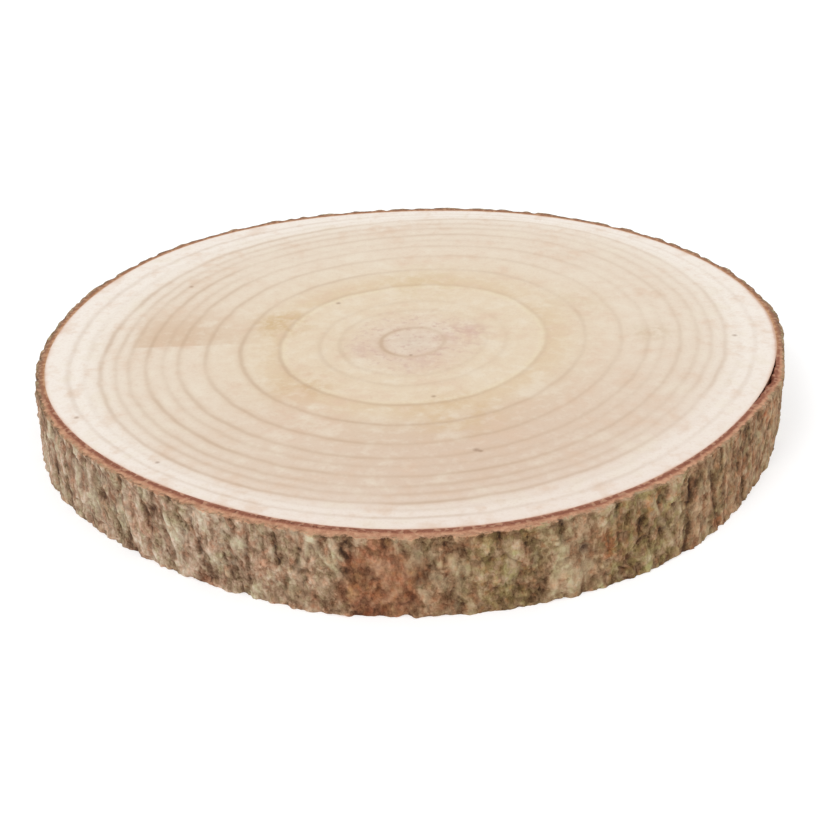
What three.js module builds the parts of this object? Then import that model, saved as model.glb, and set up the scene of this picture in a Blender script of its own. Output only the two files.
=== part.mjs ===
// Slice of a tree trunk lying on its underside: a flat disc of wood inside a ring of furrowed bark.
// Lengths are in millimetres, angles in degrees from +X towards +Y, and +Z is up.

import * as THREE from "three";
import { mergeVertices } from "three/addons/utils/BufferGeometryUtils.js";

// Driving dimensions
const SLICE_THICKNESS = 32;
const WOOD_RADIUS = 144.2;
const BARK_THICKNESS = 3.9;
const BARK_GAP = 0.3;

// A trunk isn't round: each lobe lifts the outline by its height at its peak and waves - 1 more times round.
const WOOD_LOBES = [
  { waves: 1, height: 1.1, peak: -89 },
  { waves: 2, height: 0.4, peak: -28 },
  { waves: 3, height: 2.2, peak: 30 },
  { waves: 4, height: 0.8, peak: 17 },
  { waves: 5, height: 0.7, peak: -12 },
  { waves: 6, height: 0.3, peak: 8 },
];

// The bark is thickest at the front and thinnest at both sides.
const BARK_LOBES = [
  { waves: 1, height: 1.1, peak: 262 },
  { waves: 2, height: 0.8, peak: 90 },
];

// The saw cut across a trunk that leans: how far the underside's outline lies outside the top's.
// Below 0 it lies inside.
const LEAN_MEAN = -0.8;
const LEAN_LOBES = [
  { waves: 1, height: 0.6, peak: 87 },
  { waves: 2, height: 0.6, peak: -20 },
  { waves: 3, height: 0.7, peak: -51 },
];

// Two places where the trunk swells towards the underside.
const SWELLINGS = [
  { angle: 262, halfWidth: 18, distance: 1.6 },
  { angle: 308, halfWidth: 22, distance: 1.7 },
];

// Plates of bark with furrows between them, laid out as a staggered and jittered grid round the trunk.
const PLATE_COLUMNS = 72;
const PLATE_HEIGHT = 26;
const LOWEST_PLATE_ROW = -2;
const PLATE_ROWS = 6;
const PLATE_JITTER = 0.36;
const PLATE_SEED = 20117;
const PLATE_STEP = 0.5;
const FURROW_SHARE = 0.36;
const FURROW_WIDTH = 0.26;
const SHALLOWEST_FURROW = 0.4;
const CROSS_FURROW_SHARE = 0.35;
const FURROW_WANDER = 0.15;
const WANDER_HEIGHT = 43;
const WANDER_WAVES = 11;

// A scar at the front where a plate has come off, shaped as a peak that stands on the underside.
const SCAR = { angle: 265.2, halfWidth: 4.1, top: 27, depth: 0.8, softness: 1.1 };

// A round knot hole in the bark.
const PIT = { angle: 291.7, height: 18, radius: 2.9, depth: 2.2 };

// A shoulder where the bark steps out at the right.
const SHOULDER = { angle: 4, halfWidth: 7, height: 0.7 };

// At the right the bark has started to come away from the wood, more at the top than at the underside.
const LIFT = { angle: -20, halfWidth: 10, distance: 1.9, topShare: 1.6 };

// How finely the surfaces are divided
const WOOD_SEGMENTS = 240;
const BARK_SEGMENTS = 360;
const BARK_ROWS = 8;

const degrees = THREE.MathUtils.degToRad;
const smoothstep = THREE.MathUtils.smoothstep;
const random = seededRandom(PLATE_SEED);
const plates = scatterPlates();

function seededRandom(seed) {
  const multiplier = 48271;
  const modulus = 2147483647;
  let state = seed;
  return () => {
    state = (state * multiplier) % modulus;
    return state / modulus;
  };
}

function sumLobes(lobes, angle) {
  return lobes.reduce(
    (sum, lobe) => sum + lobe.height * Math.cos(lobe.waves * (angle - degrees(lobe.peak))),
    0,
  );
}

// Shortest way round from one angle to another, in degrees.
function turnFrom(angle, start) {
  return THREE.MathUtils.euclideanModulo(THREE.MathUtils.radToDeg(angle) - start + 180, 360) - 180;
}

// One bell-shaped rise that is 1 in its middle and fades out at its reach.
function bell(distance, reach) {
  return 1 - smoothstep(Math.abs(distance), 0, reach);
}

// Places of the plates' middles, in columns and rows, with how far each plate stands proud
// and how open the furrows beside it are.
function scatterPlates() {
  const grid = [];
  for (let column = 0; column < PLATE_COLUMNS; column++) {
    const stagger = column % 2 === 0 ? 0 : 0.5;
    const plateColumn = [];
    for (let row = 0; row < PLATE_ROWS; row++) {
      plateColumn.push({
        across: column + 0.5 + PLATE_JITTER * (2 * random() - 1),
        up: LOWEST_PLATE_ROW + row + stagger + PLATE_JITTER * (2 * random() - 1),
        step: PLATE_STEP * (2 * random() - 1),
        openness: random(),
      });
    }
    grid.push(plateColumn);
  }
  return grid;
}

// The plates in the five columns round a place, shifted to lie beside it across the seam.
function platesNear(across) {
  const middle = Math.floor(across);
  const near = [];
  for (let column = middle - 2; column <= middle + 2; column++) {
    const wrapped = THREE.MathUtils.euclideanModulo(column, PLATE_COLUMNS);
    const shift = column - wrapped;
    for (const plate of plates[wrapped]) {
      near.push({ ...plate, across: plate.across + shift });
    }
  }
  return near;
}

// How far the plates stand over the mean surface, and how open the furrow is, from 0 to 1, at a place.
function barkRelief(angle, height) {
  const wander = Math.sin((2 * Math.PI * height) / WANDER_HEIGHT + WANDER_WAVES * angle);
  const across = (angle / (2 * Math.PI)) * PLATE_COLUMNS + FURROW_WANDER * wander;
  const up = height / PLATE_HEIGHT;
  const near = platesNear(across);
  const squares = near.map((plate) => (plate.across - across) ** 2 + (plate.up - up) ** 2);
  const own = squares.indexOf(Math.min(...squares));
  let furrow = 0;
  near.forEach((plate, index) => {
    if (index === own) {
      return;
    }
    const apart = Math.hypot(plate.across - near[own].across, plate.up - near[own].up);
    const toBorder = (squares[index] - squares[own]) / (2 * apart);
    const upright = Math.abs(plate.across - near[own].across) / apart;
    const direction = THREE.MathUtils.lerp(CROSS_FURROW_SHARE, 1, upright);
    const openness = (plate.openness + near[own].openness) / 2;
    const strength = direction * THREE.MathUtils.lerp(SHALLOWEST_FURROW, 1, openness);
    furrow = Math.max(furrow, strength * bell(toBorder, FURROW_WIDTH));
  });
  return { step: near[own].step * (1 - furrow), furrow };
}

// How deep the scar and the knot hole cut into the bark at a place.
function barkDamage(angle, height) {
  const scarHalf = SCAR.halfWidth * (1 - height / SCAR.top);
  const fromScar = Math.abs(turnFrom(angle, SCAR.angle));
  const scar = SCAR.depth * (1 - smoothstep(fromScar, scarHalf - SCAR.softness, scarHalf));
  const sideways = degrees(turnFrom(angle, PIT.angle)) * WOOD_RADIUS;
  const pit = PIT.depth * bell(Math.hypot(sideways, height - PIT.height), PIT.radius);
  return scar + pit;
}

function barkLift(angle, height) {
  const share = (height / SLICE_THICKNESS) ** LIFT.topShare;
  return LIFT.distance * share * bell(turnFrom(angle, LIFT.angle), LIFT.halfWidth);
}

function swelling(angle) {
  return SWELLINGS.reduce(
    (sum, place) => sum + place.distance * bell(turnFrom(angle, place.angle), place.halfWidth),
    0,
  );
}

function woodOutline(angle, height) {
  const lean = LEAN_MEAN + sumLobes(LEAN_LOBES, angle) + swelling(angle);
  return WOOD_RADIUS + sumLobes(WOOD_LOBES, angle) + lean * (1 - height / SLICE_THICKNESS);
}

function barkInside(angle, height) {
  return woodOutline(angle, height) + BARK_GAP + barkLift(angle, height);
}

function barkOutside(angle, height) {
  const shoulder = SHOULDER.height * bell(turnFrom(angle, SHOULDER.angle), SHOULDER.halfWidth);
  const mean = BARK_THICKNESS + sumLobes(BARK_LOBES, angle) + shoulder;
  const relief = barkRelief(angle, height);
  const thickness = mean * (1 - FURROW_SHARE * relief.furrow) + relief.step - barkDamage(angle, height);
  return barkInside(angle, height) + thickness;
}

// Turns a profile of radius shares and heights round the trunk, then sets each vertex at its true radius.
function turnedBody(profile, segments, radiusAt) {
  const geometry = new THREE.LatheGeometry(profile, segments);
  geometry.rotateX(Math.PI / 2);
  geometry.deleteAttribute("normal");
  geometry.deleteAttribute("uv");
  const merged = mergeVertices(geometry, 1e-4);
  const position = merged.getAttribute("position");
  for (let index = 0; index < position.count; index++) {
    const share = Math.hypot(position.getX(index), position.getY(index));
    const angle = Math.atan2(position.getY(index), position.getX(index));
    const height = THREE.MathUtils.clamp(position.getZ(index), 0, SLICE_THICKNESS);
    const radius = radiusAt(share, angle, height);
    position.setXYZ(index, radius * Math.cos(angle), radius * Math.sin(angle), height);
  }
  merged.computeVertexNormals();
  return merged;
}

function woodDisc() {
  const profile = [
    new THREE.Vector2(0, 0),
    new THREE.Vector2(1, 0),
    new THREE.Vector2(1, SLICE_THICKNESS),
    new THREE.Vector2(0, SLICE_THICKNESS),
  ];
  return turnedBody(profile, WOOD_SEGMENTS, (share, angle, height) => share * woodOutline(angle, height));
}

// A share of 1 is the bark's inside and a share of 2 its outside.
function barkRing() {
  const profile = [new THREE.Vector2(1, 0)];
  for (let row = 0; row <= BARK_ROWS; row++) {
    profile.push(new THREE.Vector2(2, (SLICE_THICKNESS * row) / BARK_ROWS));
  }
  profile.push(new THREE.Vector2(1, SLICE_THICKNESS));
  profile.push(new THREE.Vector2(1, 0));
  return turnedBody(profile, BARK_SEGMENTS, (share, angle, height) =>
    THREE.MathUtils.lerp(barkInside(angle, height), barkOutside(angle, height), share - 1),
  );
}

function namedPiece(name, geometry, color, roughness) {
  const material = new THREE.MeshStandardMaterial({ color, roughness, metalness: 0 });
  const mesh = new THREE.Mesh(geometry, material);
  mesh.name = name;
  return mesh;
}

const slice = new THREE.Group();
slice.add(namedPiece("wood", woodDisc(), 0xe9d9c4, 0.62));
slice.add(namedPiece("bark", barkRing(), 0x7d6b50, 0.92));

// The origin is the middle of the underside.
const middle = new THREE.Box3().setFromObject(slice).getCenter(new THREE.Vector3());
slice.position.set(-middle.x, -middle.y, 0);

export default slice;
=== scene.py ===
# Slice of a tree trunk: sanded end grain inside a ring of rough bark, lying on its sawn underside.
# Lengths are in metres and angles in degrees from +X towards +Y. The camera looks from -Y.

import math

import bpy
import numpy as np
from mathutils import Color, Matrix, Vector


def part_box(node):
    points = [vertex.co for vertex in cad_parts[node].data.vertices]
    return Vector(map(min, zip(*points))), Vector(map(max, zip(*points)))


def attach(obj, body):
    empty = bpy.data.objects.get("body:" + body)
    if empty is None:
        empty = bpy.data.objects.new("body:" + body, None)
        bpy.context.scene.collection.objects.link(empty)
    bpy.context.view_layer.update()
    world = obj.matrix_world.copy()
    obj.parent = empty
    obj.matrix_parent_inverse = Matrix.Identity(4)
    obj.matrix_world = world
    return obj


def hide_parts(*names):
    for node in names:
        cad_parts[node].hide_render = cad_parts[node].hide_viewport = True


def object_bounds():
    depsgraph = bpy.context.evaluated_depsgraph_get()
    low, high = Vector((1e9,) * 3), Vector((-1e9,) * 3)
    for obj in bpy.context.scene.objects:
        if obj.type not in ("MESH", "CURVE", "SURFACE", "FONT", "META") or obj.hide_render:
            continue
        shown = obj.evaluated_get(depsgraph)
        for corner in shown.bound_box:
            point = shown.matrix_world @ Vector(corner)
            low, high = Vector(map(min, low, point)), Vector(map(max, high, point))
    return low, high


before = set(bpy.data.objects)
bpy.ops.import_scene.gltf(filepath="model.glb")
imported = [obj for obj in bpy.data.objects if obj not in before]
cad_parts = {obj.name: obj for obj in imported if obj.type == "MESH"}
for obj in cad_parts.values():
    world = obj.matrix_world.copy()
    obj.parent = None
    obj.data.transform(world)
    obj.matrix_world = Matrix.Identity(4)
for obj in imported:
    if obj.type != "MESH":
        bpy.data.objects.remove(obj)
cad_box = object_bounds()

MM = 0.001

# Two distances that are as good as nothing: for telling edges apart, and for joining points
HAIR = 0.01 * MM
WELD = 0.0001 * MM

# The solids' own form, repeated from the part
SLICE_THICKNESS = 32 * MM
WOOD_RADIUS = 144.2 * MM
BARK_THICKNESS = 3.9 * MM
BARK_GAP = 0.3 * MM
WOOD_LOBES = [
    (1, 1.1 * MM, -89), (2, 0.4 * MM, -28), (3, 2.2 * MM, 30),
    (4, 0.8 * MM, 17), (5, 0.7 * MM, -12), (6, 0.3 * MM, 8),
]
BARK_LOBES = [(1, 1.1 * MM, 262), (2, 0.8 * MM, 90)]
LEAN_MEAN = -0.8 * MM
LEAN_LOBES = [(1, 0.6 * MM, 87), (2, 0.6 * MM, -20), (3, 0.7 * MM, -51)]
PLATES = {"columns": 72, "height": 26 * MM, "lowest": -2, "rows": 6, "jitter": 0.36, "seed": 20117}
DRAW_MULTIPLIER = 48271
DRAW_MODULUS = 2147483647
PLATE_STEP = 0.5 * MM
FURROW_WIDTH = 0.26
SHALLOWEST_FURROW = 0.4
CROSS_FURROW_SHARE = 0.35
FURROW_WANDER = 0.15
WANDER_HEIGHT = 43 * MM
WANDER_WAVES = 11
COLUMNS_BESIDE = 2
SWELLINGS = [(262, 18, 1.6 * MM), (308, 22, 1.7 * MM)]
SCAR = {"angle": 265.2, "half": 4.1, "top": 27 * MM, "depth": 0.8 * MM, "softness": 1.1}
PIT = {"angle": 291.7, "height": 18 * MM, "radius": 2.9 * MM, "depth": 2.2 * MM}
SHOULDER = {"angle": 4, "half": 7, "height": 0.7 * MM}
LIFT = {"angle": -20, "half": 10, "distance": 1.9 * MM, "top_share": 1.6}

# Finer relief of the bark that only this model has. A noise is its cells round the trunk, its cells up it,
# its size and its seed.
FINE_FURROW_SHARE = 0.2
THINNEST_SHARE = 0.3
FLAKES = {"columns": 190, "height": 8 * MM, "lowest": -2, "rows": 9, "jitter": 0.44, "seed": 4409}
FLAKE_STEP = 0.22 * MM
FLAKE_CRACK = 0.35 * MM
FLAKE_CRACK_WIDTH = 0.22
FLAKE_DRIFT = (60, 3, 0.8, 31)
CRAG_SIDE_WARPS = [(105, 4, 2.6 * MM, 41), (290, 9, 1.1 * MM, 43)]
CRAG_UP_WARPS = [(105, 4, 2.6 * MM, 141), (290, 9, 1.1 * MM, 143)]
CRAGS = [(215, 5, 0.42 * MM, 11), (430, 11, 0.28 * MM, 12), (880, 24, 0.14 * MM, 13)]
CRAG_STEEPNESS = 2.4
CRAG_SINK = 0.9
NOISE_MARGIN = 0.2

# Ridges and grooves that stand out, each from one angle and height to another, with heights in millimetres
RIDGES = [
    (256.3, 30, 252.8, 6), (256.3, 30, 261.5, 10), (265.7, 6, 268.7, 18), (302.5, 25, 306.8, 3),
    (319.4, 32, 320.3, 9), (259.5, 30, 260.3, 22), (274.2, 23, 275.3, 8), (281, 28, 281.7, 16),
    (213.4, 26, 214.6, 6), (226, 26, 226.6, 6), (234, 24, 235, 4), (292.5, 12, 294, 2),
    (311.9, 24, 310.7, 8),
]
RIDGE_HALF = 1.9 * MM
RIDGE_HEIGHT = 0.55 * MM
RIDGE_SMOOTHING = 0.6
GROOVES = [
    (247.4, 26, 247.1, 6), (245.2, 33, 246, 26), (243.6, 16, 244.5, 5), (255.9, 22, 255.1, 10),
    (265.8, 33, 265.7, 22), (273, 33, 273.8, 19), (279.8, 33, 280, 24), (283.4, 26, 284.2, 18),
    (296.3, 33, 296.8, 16), (303.4, 27, 303.7, 14), (215.9, 32, 218.2, 12), (222, 18, 224, 2),
    (260.6, 27, 261.3, 18), (251.6, 29, 251.6, 17), (288, 33, 288.9, 15), (314, 28, 313.2, 11),
    (229.5, 32, 230.2, 12), (238.5, 26, 239.9, 7), (309.6, 28, 308.7, 3), (317.3, 33, 317.9, 13),
    (323.2, 33, 322.3, 16), (326, 33, 327.4, 18), (330, 33, 333, 16),
]
GROOVE_HALF = 1.3 * MM
GROOVE_DEPTH = 0.55 * MM
LINE_WOBBLE = (210, 8, 0.9 * MM, 61)
LINE_THINNING = 0.5

# Where the relief is weaker: in a stretch at the right, towards the sawn top, and in the scar and the knot
# hole. A stretch is its start and end angle, how softly it ends, and its share.
CALM_SECTORS = [(316, 352, 8, 0.4)]
CALM_TOP = {"low": 29 * MM, "high": 31.5 * MM, "share": 0.65}
CALM_DAMAGE = 0.4

# Chips along both sawn edges, each with its cells round the trunk, its seed and how much more is chipped
CHIP_REACH = 2.4 * MM
CHIP_DEPTH = 0.6 * MM
CHIP_START = 0.45
TOP_CHIPS = (300, 51, 0.3)
BASE_CHIPS = (340, 52, 0.0)

# The bark's inner wall meets the wood, but for a crevice where the bark is lifted
SEAM = 0.02 * MM
CREVICE_DEPTH = 2.8 * MM
CREVICE_ROWS_UP = 1.8
CREVICE_RAGGED = (420, 1, 0.8 * MM, 81)
CREVICE_SHARE = 0.6

# How far to both sides, in degrees, the scar colours the bark at each height
SCAR_STAIN = [(0, 4.0), (15 * MM, 5.0), (25 * MM, 3.4), (32 * MM, 0.8)]
SCAR_STAIN_EDGE = (260, 7, 1.1, 71)
SCAR_STAIN_SOFTNESS = 1.1

# Stretches of bark with a look of their own, but for the pale stretch at the left, which is painted light
SECTORS = {
    "moss": [(276.7, 284.7, 2, 1), (294.7, 308.5, 3, 1)],
    "pale": [(170, 257, 20, 1)],
    "rind": [(-12, 200, 12, 1), (203, 246, 8, 0.12), (290, 345, 8, 0.42)],
    "rust": [(311, 346, 8, 0.4)],
    "dashed": [(242, 262, 6, 1)],
}
LEAST_DASHED = 0.35

# Spots of rust-red bark, each as a start and end angle, a height and how far it reaches up and down
RUST_SPOTS = [
    (294, 297, 17 * MM, 11 * MM), (301, 304, 26 * MM, 8 * MM),
    (315.5, 318.5, 3 * MM, 6 * MM), (331, 334, 26 * MM, 8 * MM),
]
RUST_SOFTNESS = 1

# Growth rings, from the pith outwards: the width of each year and how dark its late wood is
YEARS = [
    (13 * MM, 1.15), (17.5 * MM, 0.35), (7.5 * MM, 0.35), (16.8 * MM, 0.75), (16.1 * MM, 0.75),
    (14.4 * MM, 0.65), (11.1 * MM, 0.65), (5.8 * MM, 0.3), (7 * MM, 0.8), (7.2 * MM, 0.55),
    (5.1 * MM, 0.55), (6 * MM, 1.0), (5 * MM, 0.25), (5 * MM, 0.8), (7.5 * MM, 0.0),
]
PITH = Vector((0.7 * MM, -3.8 * MM))
RING_LOBES = [(1, 0.016, 40), (2, 0.034, 66), (3, 0.008, -36), (4, 0.0055, -34)]
WIDEST_WOBBLE = 0.88
RING_ROUNDS = 4
RINGS_SHOWN = 0.74
RINGS_SHOWN_LOBES = [(1, 0.26, 215)]
RING_DRIFT = 2.2 * MM

# How the rings look: the levels of a noise that shows them, the least they show, where the shade beside them
# fades out towards the bark, and the shade and the line themselves
RING_SHOWN_LEVELS = (0.25, 0.7)
RING_FAINTEST = 0.35
RING_SHADE_END = (1.0, 0.84)
RING_SHADE = {"distance": (3.4 * MM, 0.0), "share": 0.5, "color": (210, 180, 148), "relief": 0.6}
RING_LINE = {"distance": (1.5 * MM, 0.1 * MM), "share": 0.42, "color": (184, 152, 124)}

# Where the wood is darker, at the front: where it starts and fades, as shares of the way out from the pith,
# how much of it fades, and its angles
FRONT_ZONE = {"start": (0.36, 0.56), "end": (0.86, 0.94), "fade": 0.5, "angle": 280, "half": 92}
FRONT_TINT = (0.88, 0.8, 0.765)

# The growing layer, seen as a brown rim round the cut wood and widest at the right
RIM_WIDTH = 0.45 * MM
RIM_SPREAD = {"angle": 2, "half": 34, "width": 0.5 * MM}
RIM_RAGGED = 1.8 * MM
RIM_LAYERS = [
    (-1.3 * MM, 0.1 * MM, 0.4, (236, 208, 190)), (-0.3 * MM, 0.9 * MM, 0.7, (196, 146, 114)),
]
WALL = {
    "height": (31.9 * MM, 30.8 * MM), "rim": (-0.1 * MM, 0.4 * MM), "share": 0.9, "color": (150, 92, 66),
}

# Stains and specks on the cut face, as places, sizes and, for a stain, softness, share and colour
WOOD_STAINS = [
    (22 * MM, 3 * MM, 15 * MM, 0.8, 0.85, (214, 180, 164)),
    (-17 * MM, -8 * MM, 13 * MM, 0.9, 0.6, (214, 182, 166)),
    (4 * MM, -22 * MM, 15 * MM, 0.9, 0.5, (216, 184, 168)),
    (-52 * MM, 18 * MM, 18 * MM, 0.8, 0.9, (214, 184, 140)),
    (-42 * MM, -40 * MM, 22 * MM, 0.9, 0.8, (216, 184, 144)),
    (-40 * MM, -66 * MM, 26 * MM, 0.9, 0.55, (224, 190, 166)),
    (6 * MM, 55 * MM, 26 * MM, 0.9, 0.5, (220, 196, 154)),
    (16 * MM, -66 * MM, 28 * MM, 0.9, 0.75, (218, 188, 148)),
    (70 * MM, 30 * MM, 22 * MM, 0.9, 0.4, (222, 200, 166)),
    (96 * MM, -2 * MM, 13 * MM, 0.8, 0.6, (216, 194, 164)),
]
STAIN_LEVELS = (0.36, 0.62)
WOOD_SPECKS = [
    (-93 * MM, 60 * MM, 1.4 * MM), (-125 * MM, -59 * MM, 1.5 * MM), (128.5 * MM, -8 * MM, 1.6 * MM),
    (8 * MM, -52 * MM, 1.4 * MM), (-29.5 * MM, 37 * MM, 1.6 * MM), (0, -15.5 * MM, 1.2 * MM),
    (22 * MM, -95 * MM, 2 * MM), (23.5 * MM, -96 * MM, 1.4 * MM), (-91 * MM, -96 * MM, 1.3 * MM),
]
SPECK = {"softness": 0.9, "share": 0.55, "color": (150, 116, 92)}

# A darker patch at the left: the middle of its round, the straight line it ends along and its left end
PATCH = {
    "x": -95 * MM, "y": 6 * MM, "size": 44 * MM, "softness": 0.9, "line": (-0.7 * MM, 0.9 * MM),
    "left": (-112.5 * MM, -107.5 * MM), "ragged": 3, "share": 0.75, "color": (216, 186, 156),
}

# How finely the surfaces are divided
OUTLINE_POINTS = 721
WOOD_STEPS = 360
WOOD_TOP_CUTS = 109
WOOD_SIDE_CUTS = 11
WOOD_BASE_CUTS = 39
BARK_STEPS = 330
BARK_ROUND_CUTS = 3
BARK_SIDE_CUTS = 59
BARK_TOP_CUTS = 6
BARK_BASE_CUTS = 1
BARK_INNER_CUTS = 5
OUTER_FACE_SHARE = 0.995
SMOOTHED_ANGLE = 50

# How bright the light makes a white surface, at the top and at the side, and the palest a surface can be
TOP_LIGHT = 1.12
SIDE_LIGHT = 1.05
BRIGHTEST = 0.95

# Noises of the finishes, each with the size of its grains
WOOD_NOISES = {
    "wobble": {"size": 15 * MM, "detail": 3},
    "shown": {"size": 38 * MM, "detail": 3, "offset": (0.31, 0.12, 0)},
    "mottle": {"size": 6 * MM, "detail": 4, "roughness": 0.65, "offset": (0.4, 0, 0)},
    "cloud": {"size": 13 * MM, "detail": 4, "roughness": 0.6, "offset": (0, 0.2, 0)},
    "wisps": {"size": 4.5 * MM, "detail": 3, "roughness": 0.6, "offset": (0.1, 0.7, 0)},
    "core": {"size": 4 * MM, "detail": 4, "roughness": 0.65},
    "grain": {"size": 1.1 * MM, "detail": 3, "roughness": 0.7},
}
BARK_NOISES = {
    "streaks": {"size": 4.2 * MM, "detail": 4, "roughness": 0.6, "stretch": (1, 1, 0.55)},
    "chunks": {
        "size": 2.2 * MM, "detail": 2, "roughness": 0.5, "stretch": (1, 1, 0.7), "offset": (0.7, 0, 0),
    },
    "grains": {"size": 0.9 * MM, "detail": 2, "roughness": 0.6, "offset": (0.2, 0, 0.1)},
    "patches": {
        "size": 9 * MM, "detail": 4, "roughness": 0.6, "stretch": (1, 1, 0.6), "offset": (0, 0.4, 0),
    },
    "hue": {"size": 2.8 * MM, "detail": 3, "offset": (0.5, 0.5, 0)},
    "broad": {"size": 6.5 * MM, "detail": 3, "stretch": (1, 1, 0.6), "offset": (0.8, 0.1, 0.3)},
    "moss": {"size": 3.4 * MM, "detail": 4, "offset": (0, 0, 0.6)},
    "rust": {"size": 2.8 * MM, "detail": 4, "offset": (0.9, 0, 0)},
    "embers": {"size": 4 * MM, "detail": 3, "offset": (0.3, 0.3, 0)},
    "dashes": {"size": 1.7 * MM, "detail": 3, "offset": (0, 0.3, 0)},
}

# Colours are as a screen shows them, in steps of 255, and tints are factors for red, green and blue. A tone
# has its place from 0 to 1 before its colour. A layer has the two levels of a noise that it comes in
# between, its share, and its colour or tint.
# The cut wood, from the pith outwards
WOOD_TONES = [
    (0.0, (224, 206, 186)), (0.07, (227, 206, 185)), (0.13, (228, 206, 182)), (0.21, (232, 213, 186)),
    (0.352, (233, 214, 187)), (0.368, (237, 221, 191)), (0.384, (227, 204, 172)), (0.42, (229, 207, 176)),
    (0.48, (233, 215, 190)), (0.62, (235, 218, 197)), (0.79, (236, 220, 201)), (0.86, (241, 228, 212)),
    (0.915, (249, 240, 229)), (1.0, (249, 239, 229)),
]
CLOUD_LAYERS = [(0.5, 0.72, 0.5, (226, 196, 170)), (0.5, 0.3, 0.45, (240, 228, 208))]
WISP_LAYERS = [(0.5, 0.7, 0.2, (222, 194, 168)), (0.5, 0.32, 0.2, (243, 232, 214))]
CORE_REACH = (0.27, 0.1)
CORE_LAYERS = [(0.5, 0.68, 0.6, (206, 170, 156))]
GRAIN_LAYERS = [(0.45, 0.8, 0.22, (200, 172, 148))]

# The outer bark, from its darkest hollows to its palest crests: its level where nothing changes it, and how
# much each part of its relief and each noise lightens it. The relief darkens furrows, grooves and cracks and
# lightens lumps and ridges: partly the bark's own darker cracks and paler crests, partly painted shade.
BARK_TONES = [
    (0.0, (60, 41, 29)), (0.2, (96, 70, 48)), (0.5, (146, 118, 90)), (0.75, (179, 153, 124)),
    (1.0, (202, 183, 157)),
]
BARK_LEVEL = 0.6
RELIEF_TONE_AND_SHADE_WEIGHTS = {"lumps": 0.23, "tone": 0.12, "ridge": 0.2, "groove": -0.3, "furrow": -0.2, "flake": -0.08}
NOISE_WEIGHTS = {"streaks": 1.1, "chunks": 0.65, "grains": 0.35, "patches": 0.78}
CREASE_HALF = 0.06
CREASE_WEIGHT = -0.12
HUE_TINTS = [(0.52, 0.66, 0.7, (1.14, 0.92, 0.84)), (0.48, 0.36, 0.7, (0.93, 1.03, 0.92))]
BROAD_TINTS = [(0.53, 0.66, 0.7, (1.08, 0.92, 0.86)), (0.5, 0.38, 0.7, (0.94, 1.04, 0.93))]
LICHEN_LEVELS = {"patches": (0.47, 0.6), "streaks": (0.4, 0.55)}
LICHEN = {"tint": (0.99, 1.02, 0.95), "tint_share": 0.7, "color": (181, 170, 144), "share": 0.25}

# Stretches and marks of the outer bark
# Painted light: the pale stretch at the left is tinted lighter and greyer, and painted shade tints the rest
# of the bark darker
PAINTED_LIGHT_TINT = (1.13, 1.18, 1.38)
PAINTED_SHADE_TINT = (0.87, 0.83, 0.8)
MOSS_TINTS = [(0.42, 0.6, 0.85, (0.84, 0.9, 0.66))]
MOSS_OFF_RIDGES = 0.7
RUST_TINTS = [(0.42, 0.62, 0.9, (1.15, 0.78, 0.6))]
SCAR_LOOK = {"tint": (0.96, 0.7, 0.62), "tint_share": 0.9, "color": (146, 100, 74), "share": 0.1}
EMBER_TINTS = [(0.5, 0.66, 0.6, (1.16, 0.96, 0.76)), (0.5, 0.34, 0.8, (0.72, 0.69, 0.71))]
# Painted shade inside the knot hole: its colour and share
PIT_PAINTED_SHADE = {"color": (92, 72, 66), "share": 0.6}

# The bark that the saw has bared at the top edge: the heights it comes in between, and how far a noise and
# the rind move its border
FRESH = {
    "height": (31.3 * MM, 32.5 * MM), "ragged": 2.8 * MM, "rind": 2.2 * MM,
    "color": (204, 156, 122), "share": 0.8,
}
FRESH_LAYERS = [(0.5, 0.36, 0.4, (160, 106, 78))]

# The sawn bark, from the wood outwards, at the front and, where the rind is, at the back
FRONT_CUT_TONES = [
    (0.0, (190, 146, 126)), (0.08, (160, 106, 86)), (0.25, (138, 84, 66)), (0.39, (158, 102, 80)),
    (0.54, (194, 142, 113)), (1.0, (203, 157, 126)),
]
BACK_CUT_TONES = [
    (0.0, (200, 156, 116)), (0.25, (168, 120, 90)), (0.6, (140, 106, 84)), (1.0, (120, 98, 80)),
]
RIND_LEVELS = (0.4, 1.0)
CUT_RAGGED = 0.45
DASH_DEPTH = {"near": (0.04, 0.16), "far": (0.46, 0.32)}
DASH_LAYERS = [(0.44, 0.62, 0.7, (92, 48, 34))]
CUT_GRAIN_LAYERS = [(0.5, 0.7, 0.4, (150, 102, 78))]
CUT_CHUNK_LAYERS = [(0.5, 0.36, 0.4, (222, 176, 142)), (0.5, 0.64, 0.45, (158, 104, 78))]
CRUST = {"depth": (0.64, 0.86), "ragged": 1.3, "share": 0.9}
# The crevice where the bark is lifted: its wall in dark red-brown, partly the inner bark's own colour and
# partly painted shade
CREVICE_BROWN_AND_SHADE = {"lifted": (0.0, 0.25), "depth": (0.16, 0.02), "color": (122, 66, 46), "share": 0.85}

# How rough each surface is and how much a noise adds to that, the depth and strength of its bumps, its gloss
WOOD_SURFACE = {"roughness": 0.58, "varies": 0.12, "bumps": 0.05 * MM, "strength": 0.35, "gloss": 0.25}
BARK_SURFACE = {"roughness": 0.8, "varies": 0.15, "bumps": 0.8 * MM, "strength": 0.55, "gloss": 0.15}
CUT_SURFACE = {"roughness": 0.82, "varies": 0.1, "bumps": 0.35 * MM, "strength": 0.6, "gloss": 0.15}
CHUNK_RELIEF = 0.7
GRAIN_RELIEF = 0.3

# The studio: a white floor that glows, an even white sky, and suns with a strength, a spread and a direction
FLOOR = {"size": 12, "height": -0.2 * MM, "grey": 0.55, "glow": 0.55, "roughness": 0.9}
SKY_STRENGTH = 0.8
SUNS = [("key", 1.1, 25, (-0.55, -0.75, 0.85)), ("fill", 0.35, 60, (0.8, -0.6, 0.7))]

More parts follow.
